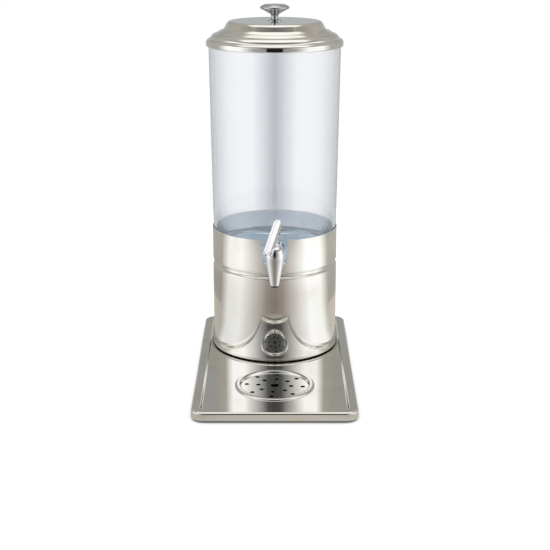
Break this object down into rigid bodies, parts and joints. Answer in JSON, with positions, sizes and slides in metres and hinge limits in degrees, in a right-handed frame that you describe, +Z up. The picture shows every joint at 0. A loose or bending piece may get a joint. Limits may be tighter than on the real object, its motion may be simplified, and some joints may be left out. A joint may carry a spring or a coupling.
{
  "type": "juice dispenser",
  "caption": "Table juice dispenser: a clear drafted tank in a polished pedestal on a tray, with a stepped lid, a self-closing lever tap and a drip cup with a lift-out grid.",
  "frame": {"origin": "centre of the tray's footprint on the table, under the feet", "axes": "+Z up along the tank, -Y to the front where the tap is, +X to the right seen from the front"},
  "size_m": [0.23, 0.4, 0.5344],
  "materials": {
    "polished_steel": "mirror polished",
    "satin_steel": "satin",
    "tap_chrome": "polished plating",
    "fastener_steel": "plain",
    "clear_plastic": "clear, glossy",
    "foot_rubber": "matte",
    "seal_rubber": "matte",
    "white_silicone": "satin"
  },
  "bodies": {
    "base": {"base_tray": "polished_steel", "tray_feet": "foot_rubber", "foot_screws": "fastener_steel", "base_shell": "polished_steel", "shell_screws": "fastener_steel", "shell_nuts": "fastener_steel", "tank_platform": "satin_steel"},
    "drip_cup": {"drip_cup": "polished_steel"},
    "drip_grid": {"drip_grid": "polished_steel"},
    "tank": {"tank": "clear_plastic", "tap_body": "tap_chrome", "tap_front_gasket": "seal_rubber", "tap_back_gasket": "seal_rubber", "tap_washer": "fastener_steel", "tap_nut": "fastener_steel", "tap_bonnet": "tap_chrome", "bonnet_seal": "white_silicone", "stem_seal": "seal_rubber", "tap_spring": "fastener_steel"},
    "stem": {"tap_stem": "fastener_steel", "seat_plug": "white_silicone", "stem_pin": "fastener_steel"},
    "lever": {"tap_lever": "tap_chrome", "lever_pin": "fastener_steel"},
    "lid": {"lid": "polished_steel", "lid_knob": "polished_steel", "knob_screw": "fastener_steel", "knob_washer": "fastener_steel"}
  },
  "joints": [
    {"name": "drip_cup_lift", "type": "slide", "parent": "base", "child": "drip_cup", "axis": [0, 0, 1], "range_m": [0, 0.03]},
    {"name": "drip_grid_lift", "type": "slide", "parent": "drip_cup", "child": "drip_grid", "axis": [0, 0, 1], "range_m": [0, 0.02]},
    {"name": "tank_lift", "type": "slide", "parent": "base", "child": "tank", "axis": [0, 0, 1], "range_m": [0, 0.08]},
    {"name": "lid_lift", "type": "slide", "parent": "tank", "child": "lid", "axis": [0, 0, 1], "range_m": [0, 0.05]},
    {"name": "lever_pull", "type": "hinge", "parent": "tank", "child": "lever", "pos_m": [-0.00938, -0.08461, 0.2069], "axis": [0.891, -0.454, 0], "range_deg": [0, 11], "stiffness_Nm_per_rad": 0.48, "springref_deg": -14.9},
    {"name": "stem_lift", "type": "slide", "parent": "tank", "child": "stem", "axis": [0, 0, 1], "range_m": [0, 0.0046], "deforming": ["tap_spring"]}
  ],
  "couplings": [
    {"joint": "stem_lift", "follows": "lever_pull", "m_per_rad": 0.023152}
  ]
}
